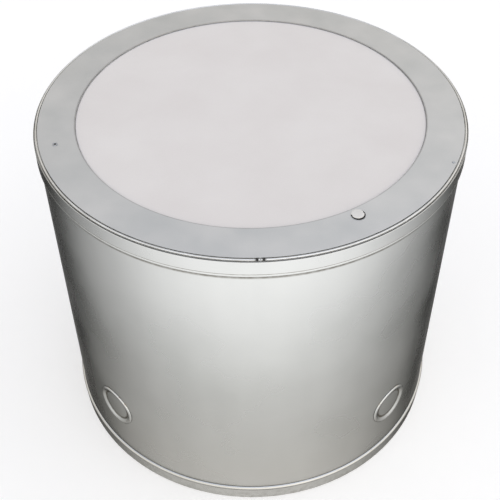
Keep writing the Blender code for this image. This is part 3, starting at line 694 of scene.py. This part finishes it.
# Drawn steel wire: the brightest line on the drum, with a dark scorch beside its joint.
BEAD_METAL = drawn_metal(
    "bright_drawn_steel", "EFF0F0", "DADBDA", "34322F", 0.24, (0.08, 0.08, 1.0))

ends = np.array([0.0, 0.0, 0.0009, 0.0022, 0.0030, 0.0050, 0.0070, 0.0085]) / bead_circle
bead_turned = np.concatenate([
    joint_half + ends, np.linspace(joint_half + 0.03, 2 * np.pi - joint_half - 0.03, 400),
    2 * np.pi - joint_half - ends[::-1]])
from_joint = np.minimum(bead_turned, 2 * np.pi - bead_turned) * bead_circle
# Brazing the ends down left a dark stain, strongest 3 to 6 mm from the joint on each side.
bead_wear = -np.interp(from_joint, [0.0022, 0.0034, 0.0056, 0.0090], [0.0, 1.0, 1.0, 0.0])
bead_swell = np.ones(len(bead_turned))
bead_swell[[0, -1]], bead_swell[[1, -2]] = 0.0, 0.86
# Wire at angle a and turn t: (circle + r cos t) out at a, and r sin t up; r is 0 at each end.
bead_angles, bead_swell = joint_angle + bead_turned[:, None], bead_swell[:, None] * wire_radius
bead_turn = np.linspace(0.0, -2.0 * np.pi, 20, endpoint=False)[None]
bead_reach = bead_circle + bead_swell * np.cos(bead_turn)
bead_points = np.stack([
    bead_reach * np.cos(bead_angles), bead_reach * np.sin(bead_angles),
    bead_level + bead_swell * np.sin(bead_turn)], -1).reshape(-1, 3)
bead_faces = grid_faces(len(bead_angles), bead_turn.size, False, True)
make("rim_bead", (bead_points, bead_faces, np.repeat(bead_wear, bead_turn.size)), BEAD_METAL,
     "rim", 60.0)

# --------------------------------------------------------------------- eyelet and rivet
# A tubular eyelet on the left and a small solid rivet on the right pin ring and flange
# together. Both are zinc plated steel, set cold with a round head.

head_under, pin_foot = ring_top + gap, ring_top - 0.0060
curl_radius, tube_radius, tube_bore = 0.0044, 0.0030, 0.0021
tube_top = ring_top + 0.0008
eyelet = rounded([
    (curl_radius, tube_top, 0.0004), (curl_radius, head_under, 0.0002),
    (tube_radius, head_under, 0.0001), (tube_radius, pin_foot, 0.0003),
    (tube_bore, pin_foot, 0.0003), (tube_bore, tube_top, 0.0004)], steps=3)
make("rim_eyelet", turned(eyelet, 40, centre=eyelet_place), ZINC, "rim")
dome_radius, rivet_radius = 0.0030, 0.0022
dome_top = ring_top + 0.0007
rivet = rounded([
    (0.0, dome_top, 0.0), (0.0018, dome_top, 0.0010),
    (dome_radius, head_under, 0.0001), (rivet_radius, head_under, 0.0001),
    (rivet_radius, pin_foot, 0.0005), (0.0, pin_foot, 0.0)], closed=False, steps=3)
make("rim_rivet", turned(rivet, 40, closed=False, centre=rivet_place), ZINC,
     "rim")

# ---------------------------------------------------------------------------- ring plug
# Push-in plug of white polyethylene, moulded with a low domed head, two notches in its edge
# to lift it by, and a stem that snaps into the hole in the ring. The black rubber washer under
# its head, set off to one side, is painted shade: a dark ring where the plug's shadow falls.

plug_low, plug_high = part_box("ring_plug")
plug_radius, plug_foot = (plug_high.x - plug_low.x) / 2.0, ring_top + 0.0013
stem_radius, stem_taper = 0.0060, 0.0015
plug = rounded([
    (0.0, plug_high.z, 0.0), (plug_radius - 0.0020, plug_high.z - 0.0002, 0.0030),
    (plug_radius, plug_high.z - 0.0010, 0.0006), (plug_radius, plug_foot, 0.0003),
    (stem_radius, plug_foot, 0.0003), (stem_radius, plug_low.z + stem_taper, 0.0008),
    (stem_radius - stem_taper, plug_low.z, 0.0004), (0.0, plug_low.z, 0.0),
], closed=False)


def notched(radius, angle):
    """Two notches opposite each other, which fade out towards the middle.

    The radius loses the notch's depth times a bell curve of the angle from the notch, about 20
    degrees wide, times a ramp that grows from nothing 1 mm outside the stem.
    """
    notch_depth, notch_angle = 0.0011, 0.35
    away = np.abs((angle % np.pi) - notch_angle)
    ramp = np.clip((radius - 0.0070) / 0.0025, 0.0, 1.0)
    return radius - notch_depth * np.exp(-(away / 0.16) ** 2) * ramp


# Polyethylene: milky white and a little waxy.
PLUG_PLASTIC = moulded("white_polyethylene", "DDDCD9", "E4E3E1", 0.42, 1.2, 0.02)
make("ring_plug", turned(plug, 96, closed=False, centre=plug_place, outline=notched),
     PLUG_PLASTIC, "ring_plug")

# The washer is painted shade: a dark ring round the plug's head, wider on one side.
shade_washer_radius, shade_washer_bore = 0.0107, 0.0073
_, shade_washer_low, shade_washer_high = outside("plug_washer")
plug_washer = rounded([
    (shade_washer_radius, shade_washer_high, 0.0002), (shade_washer_radius, shade_washer_low, 0.0002),
    (shade_washer_bore, shade_washer_low, 0.0002), (shade_washer_bore, shade_washer_high, 0.0002)], steps=3)
make("plug_washer", turned(plug_washer, 64, centre=middle("plug_washer")), RUBBER,
     "ring_plug")

# ------------------------------------------------------------------------ tension rods
# Four steel rods hang from lugs welded under the rim's flange, locked by hexagon nuts, and run
# down to the knobs. Both ends are threaded M8; all of it is zinc plated.


def straight_wall(points, wear_and_shade, low, high, pitch):
    """Puts extra points into a profile's straight side between two heights, a pitch apart."""
    side = np.arange(high, low, -pitch)
    column = points[:, 0].max()
    cut = int(np.argmax((points[:, 1] < high) & (points[:, 0] > column - 1e-6)))
    extra = np.stack([np.full(len(side), column), side], -1)
    return (np.concatenate([points[:cut], extra, points[cut:]]),
            np.concatenate([wear_and_shade[:cut], np.zeros(len(side)), wear_and_shade[cut:]]))


thread_pitch, thread_depth = 0.00125, 0.00045
rod_circle = 0.3280
rod_low, rod_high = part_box("tension_rod_front_right")
rod_radius, rod_end = 0.0040, 0.0008
rod_bore = rod_radius + gap
plain_low, plain_high = rod_low.z + 0.0620, rod_high.z - 0.0420
rod = rounded([
    (0.0, rod_high.z, 0.0), (rod_radius, rod_high.z, rod_end),
    (rod_radius, rod_low.z, rod_end), (0.0, rod_low.z, 0.0)], closed=False)
rod = straight_wall(*rod, plain_high, rod_high.z - 2.0 * rod_end, thread_pitch / 6)
rod = straight_wall(*rod, rod_low.z + 2.0 * rod_end, plain_low, thread_pitch / 6)


def threaded(points, axis):
    """Cuts the screw thread.

    Each point sinks by the depth times half less half the cosine of its height in pitches less
    its turn about the axis.
    """
    away = points[:, :2] - axis
    radius = np.linalg.norm(away, axis=1)
    turn = np.arctan2(away[:, 1], away[:, 0]) / (2.0 * np.pi)
    z = points[:, 2]
    cut = (radius > rod_radius - 1e-4) & ((z < plain_low) | (z > plain_high))
    depth = thread_depth * (0.5 - 0.5 * np.cos(2.0 * np.pi * (z / thread_pitch - turn)))
    scale = np.where(cut, 1.0 - depth / rod_radius, 1.0)[:, None]
    return np.concatenate([axis + away * scale, z[:, None]], 1)


lug_half = 0.0120
_, lug_low, lug_high = outside("rod_lug_front_right")
lug = rounded([
    (lug_half, lug_high, 0.0006), (lug_half, lug_low, 0.0012),
    (rod_bore, lug_low, 0.0004), (rod_bore, lug_high, 0.0004)], steps=3)


def squared(radius, lean):
    """Square with round corners: the outer points move out to the curve |x|^10 + |y|^10 = 1."""
    reach = (np.abs(np.cos(lean)) ** 10 + np.abs(np.sin(lean)) ** 10) ** -0.1
    share = np.clip((radius - rod_bore) / (lug_half - rod_bore), 0.0, 1.0)
    return radius * (1.0 + (reach - 1.0) * share)


nut_half, nut_chamfer = 0.0065, 0.0007
nut_corner, nut_face = nut_half / math.cos(math.pi / 6.0), nut_half * 0.97
_, nut_low, nut_high = outside("lock_nut_front_right")
nut = rounded([
    (nut_face, nut_high, 0.0002), (nut_corner, nut_high - nut_chamfer, 0.0002),
    (nut_corner, nut_low + nut_chamfer, 0.0002), (nut_face, nut_low, 0.0002),
    (rod_bore, nut_low, 0.0004), (rod_bore, nut_high, 0.0004)], steps=2)


def hexagonal(radius, lean):
    """The turned blank cut back to flats: r is at most half the width over cos to the flat."""
    return np.minimum(radius, nut_half / np.cos(lean % (np.pi / 3.0) - np.pi / 6.0))


for station, degrees in STATIONS.items():
    bearing = math.radians(degrees)
    axis = np.array([rod_circle * math.cos(bearing), rod_circle * math.sin(bearing)])
    make(f"tension_rod_{station}",
         turned(rod, 20, closed=False, centre=axis, wrap=lambda points: threaded(points, axis)),
         ZINC, "rim", 60.0)
    make(f"rod_lug_{station}",
         turned(lug, 96, centre=axis, outline=lambda r, a: squared(r, a - bearing)),
         ZINC, "rim")
    make(f"lock_nut_{station}",
         turned(nut, 72, centre=axis, outline=lambda r, a: hexagonal(r, a - bearing)),
         ZINC, "rim", 30.0)

# ----------------------------------------------------------- brackets and tuning knobs
# Folded steel brackets, spot welded to the shell, carry the pull of the rods. Under each a
# plated washer and a fluted hand knob of black phenolic, moulded round a threaded brass bush.

# Phenolic: near-black with a dull gloss, and browner on the worn flutes.
KNOB_PLASTIC = moulded("black_phenolic_moulding", "19191A", "2A2927", 0.42, 1.0, 0.02)

washer_radius, washer_bore = 0.0110, 0.0046
_, washer_low, washer_high = outside("knob_washer_front_right")
knob_washer = rounded([
    (washer_radius, washer_high, 0.0004), (washer_radius, washer_low, 0.0004),
    (washer_bore, washer_low, 0.0003), (washer_bore, washer_high, 0.0003)], steps=3)
knob_radius, shoulder_radius, shoulder_height, flute_depth = 0.0150, 0.0085, 0.0050, 0.0028
_, knob_low, knob_high = outside("tuning_knob_front_right")
knob = rounded([
    (shoulder_radius, knob_high, 0.0006), (knob_radius, knob_high - shoulder_height, 0.0050),
    (knob_radius, knob_low, 0.0040), (rod_bore, knob_low, 0.0005), (rod_bore, knob_high, 0.0005)])


def fluted(radius, lean):
    """Six lobes: the radius loses the flute's depth times (half less half cosine) squared."""
    lobes = (0.5 - 0.5 * np.cos(6.0 * lean)) ** 2
    return radius - flute_depth * lobes * np.clip(
        (radius - rod_bore) / (knob_radius - rod_bore), 0.0, 1.0)


for station, degrees in STATIONS.items():
    bearing = math.radians(degrees)
    axis = (rod_circle * math.cos(bearing), rod_circle * math.sin(bearing))
    dress(f"rod_bracket_{station}", ZINC)
    make(f"knob_washer_{station}", turned(knob_washer, 64, centre=axis), ZINC,
         "drum_body")
    make(f"tuning_knob_{station}",
         turned(knob, 120, centre=axis, outline=lambda r, a: fluted(r, a - bearing)),
         KNOB_PLASTIC, f"tuning_knob_{station}")

# ----------------------------------------------------------------------- ports and caps
# Each port has a moulded rubber gasket and a push-in cap, pressed from steel sheet: a floor in
# the shell's own curve, a sloping wall up to a rolled lip, and a spigot that the gasket grips.

lip_radius, lip_height = 0.0420, 0.0028
spigot_radius, spigot_depth = port_hole_radius - 0.0024, 0.0098
floor_radius, cap_floor, cap_sheet = 0.0300, -0.0008, 0.0012
spigot_bore, floor_under = spigot_radius - cap_sheet, cap_floor - cap_sheet
# The cap's outer corners are marked for knocks, and its inner ones for painted shade.
cap_flat, cap_wear_and_shade = rounded([
    (0.0, cap_floor, 0.0),
    (floor_radius, cap_floor, 0.0040),
    (spigot_radius - 0.0006, lip_height - 0.0004, 0.0050),
    (lip_radius - 0.0028, lip_height, 0.0020),
    (lip_radius, lip_height - 0.0012, 0.0016),
    (lip_radius, gap, 0.0002),
    (spigot_radius, gap, 0.0004),
    (spigot_radius, -spigot_depth, 0.0004),
    (spigot_bore, -spigot_depth, 0.0004),
    (spigot_bore, gap, 0.0006),
    (floor_radius, floor_under, 0.0010),
    (0.0, floor_under, 0.0),
], closed=False)
# Extra rings of points keep the wide floor on the shell's curve.
rings = np.linspace(0.0, floor_radius - 0.0030, 9)[1:]
flat_rings = np.zeros(len(rings))
cap_flat = np.concatenate([
    cap_flat[:1], np.stack([rings, flat_rings + cap_floor], -1), cap_flat[1:-1],
    np.stack([rings[::-1], flat_rings + floor_under], -1), cap_flat[-1:]])
cap_wear_and_shade = np.concatenate([cap_wear_and_shade[:1], flat_rings, cap_wear_and_shade[1:-1], flat_rings, cap_wear_and_shade[-1:]])
# Feet and tools knock the lips of the caps, and a little rust shows where the lacquer is gone.
CAP_LACQUER = sprayed_silver(
    "aluminium_lacquer_on_pressed_caps", pale="DBDCDA", deep="D3D4D2", soil_and_shade="7A766E",
    bare="8C6A55", edge_on="000000", roughness=0.28, cloud_mm=140.0, soil_height=0.030)
neck_radius, neck_bore = port_hole_radius - gap, spigot_radius + gap
collar_radius, collar_front, collar_back = port_hole_radius + 0.0030, -0.0023, -0.0042
gasket = rounded([
    (neck_radius, 0.0, 0.0003), (neck_radius, collar_front, 0.0003),
    (collar_radius, collar_front, 0.0006), (collar_radius, collar_back, 0.0006),
    (neck_bore, collar_back, 0.0006), (neck_bore, 0.0, 0.0003)], steps=3)


def on_shell(points, bearing):
    """Bends a flat-made piece to the shell.

    Sideways x stays, height is the port's plus y, and the distance outwards is the root of
    radius squared less x squared, plus the piece's own height over the sheet.
    """
    side, up, over = points.T
    out = np.sqrt(shell_radius ** 2 - side ** 2) + over
    return np.stack([
        out * math.cos(bearing) - side * math.sin(bearing),
        out * math.sin(bearing) + side * math.cos(bearing), port_height + up], -1)


for station, degrees in STATIONS.items():
    bearing = math.radians(degrees)
    make(f"port_cap_{station}",
         turned((cap_flat, cap_wear_and_shade), 96, closed=False,
                wrap=lambda points: on_shell(points, bearing)),
         CAP_LACQUER, f"port_cap_{station}")
    make(f"port_gasket_{station}",
         turned(gasket, 96, wrap=lambda points: on_shell(points, bearing)),
         RUBBER, "drum_body")

# ------------------------------------------------------------------- floor and lighting
# A plain pale studio floor under an even dome of light. The drum's wall mirrors the floor, which
# is lit from the front and dims behind the drum, as under a softbox over the camera.


def stage_plane(name, size, level):
    """Square stage plane at a height below the drum, which is not part of the object."""
    mesh = bpy.data.meshes.new(name)
    half = size / 2.0
    mesh.from_pydata([(-half, -half, level), (half, -half, level), (half, half, level),
                      (-half, half, level)], [], [(0, 1, 2, 3)])
    plane = bpy.data.objects.new(name, mesh)
    bpy.context.scene.collection.objects.link(plane)
    return plane


floor = stage_plane("studio_floor", 60.0, -0.0003)
# Matt floor paint: off-white, with the drum's soft contact shadow the only mark on it.
floor_paint, tree, shader, place = new_finish("pale_floor_paint", 0.0)
shader.inputs["Roughness"].default_value = 0.9
shader.inputs["Specular IOR Level"].default_value = 0.0
cloud = add(tree, "TexNoise", {"Vector": place, "Scale": 1000.0 / 400.0})
colour = add(tree, "Mix", {0: cloud, 6: linear("F2F2F1"), 7: linear("F6F6F5")}, 2, data_type="RGBA")
tree.links.new(colour, shader.inputs["Base Color"])
shader.inputs["Emission Color"].default_value = (1.0, 1.0, 1.0, 1.0)
shader.inputs["Emission Strength"].default_value = 0.22
floor.data.materials.append(floor_paint)
# The drum mirrors the sheet of light below, and not this floor.
floor.visible_glossy = False
floor.visible_diffuse = False
floor.visible_shadow = False

# A sheet of light that only the drum sees, in the tints and strengths of a lit floor: by the
# distance from the drum's axis in metres, and from front to back and side to side.
glow = stage_plane("floor_glow", 60.0, -0.0010)
glow_paint = bpy.data.materials.new("floor_glow_light")
glow_paint.use_nodes = True
tree = glow_paint.node_tree
tree.nodes.clear()
place = add(tree, "TexCoord", out="Object")
x = add(tree, "SeparateXYZ", {0: place}, "X")
y = add(tree, "SeparateXYZ", {0: place}, "Y")
away = add(tree, "VectorMath", {0: place}, "Value", operation="LENGTH")
near, far = 0.36, 1.60
share = add(tree, "MapRange", {"Value": away, "From Min": near, "From Max": far})
glow_colour = add(tree, "ValToRGB", {0: share})
ramp = glow_colour.node.color_ramp
ramp.elements[0].color, ramp.elements[1].color = linear("FFFCF8"), linear("F4F4F5")
for distance, hex_colour in ((0.40, "F5F1EC"), (0.46, "E9E7E3"), (0.54, "DFDDDB"),
                             (0.62, "DCDCDA"), (0.73, "E8E8E8"), (0.88, "F5F5F6")):
    ramp.elements.new((distance - near) / (far - near)).color = linear(hex_colour)
front = add(tree, "MapRange", {
    "Value": y, "From Min": -0.95, "From Max": -0.25, "To Min": 1.42, "To Max": 0.80},
    interpolation_type="SMOOTHSTEP")
behind = add(tree, "MapRange", {
    "Value": y, "From Min": -0.25, "From Max": 0.45, "To Min": 1.0, "To Max": 0.65},
    interpolation_type="SMOOTHSTEP")
side = add(tree, "MapRange", {
    "Value": x, "From Min": -0.8, "From Max": 0.8, "To Min": 0.95, "To Max": 1.05})
strength = add(tree, "Math", {0: front, 1: behind}, operation="MULTIPLY")
strength = add(tree, "Math", {0: strength, 1: side}, operation="MULTIPLY")
emission = add(tree, "Emission", {"Color": glow_colour, "Strength": strength})
add(tree, "OutputMaterial", {"Surface": emission})
glow_paint.cycles.emission_sampling = "NONE"
glow.data.materials.append(glow_paint)
glow.visible_camera = False

# The dome is warm low down and cooler overhead, and brighter in front and on the right.
world = bpy.data.worlds.new("studio_dome")
bpy.context.scene.world = world
world.use_nodes = True
tree = world.node_tree
tree.nodes.clear()
direction = add(tree, "TexCoord", out="Generated")
x = add(tree, "SeparateXYZ", {0: direction}, "X")
y = add(tree, "SeparateXYZ", {0: direction}, "Y")
z = add(tree, "SeparateXYZ", {0: direction}, "Z")
height = add(tree, "MapRange", {"Value": z, "From Min": 0.50, "From Max": 0.70})
colour = add(tree, "Mix", {0: height, 6: linear("FAF3E8"), 7: linear("DADEE9")}, 2,
             data_type="RGBA")
front = add(tree, "MapRange", {
    "Value": y, "From Min": -1.0, "From Max": 1.0, "To Min": 1.45, "To Max": 0.80})
side = add(tree, "MapRange", {
    "Value": x, "From Min": -0.35, "From Max": 0.35, "To Min": 0.89, "To Max": 1.11},
    interpolation_type="SMOOTHSTEP")
strength = add(tree, "Math", {0: front, 1: side}, operation="MULTIPLY")
dome = add(tree, "Background", {"Color": colour, "Strength": strength})
# Past the floor's edge the camera sees a plain white backdrop.
seen = add(tree, "LightPath", None, "Is Camera Ray")
backdrop = add(tree, "Background", {"Color": (1.0, 1.0, 1.0, 1.0)})
surroundings = add(tree, "MixShader", {0: seen, 1: dome, 2: backdrop})
add(tree, "OutputWorld", {"Surface": surroundings})
bpy.context.scene.view_settings.view_transform = "Standard"

# -------------------------------------------------------------------------------- camera
# A standing person's view: 1.5 m above the floor and 1.24 m from the drum's axis, looking down
# at 44 degrees.

lens = bpy.data.cameras.new("standing_view")
lens.lens = 64.48
lens.sensor_width = 36.0
lens.clip_end = 200.0
camera = bpy.data.objects.new("standing_view", lens)
bpy.context.scene.collection.objects.link(camera)
down, yaw, roll = 0.7715, -0.0024, -0.0084
eye_distance, eye_height = 1.238, 1.501
camera.matrix_world = (
    Matrix.Translation((0.0, -eye_distance, eye_height)) @ Matrix.Rotation(-yaw, 4, "Z")
    @ Matrix.Rotation(math.pi / 2.0 - down, 4, "X") @ Matrix.Rotation(roll, 4, "Z"))
bpy.context.scene.camera = camera
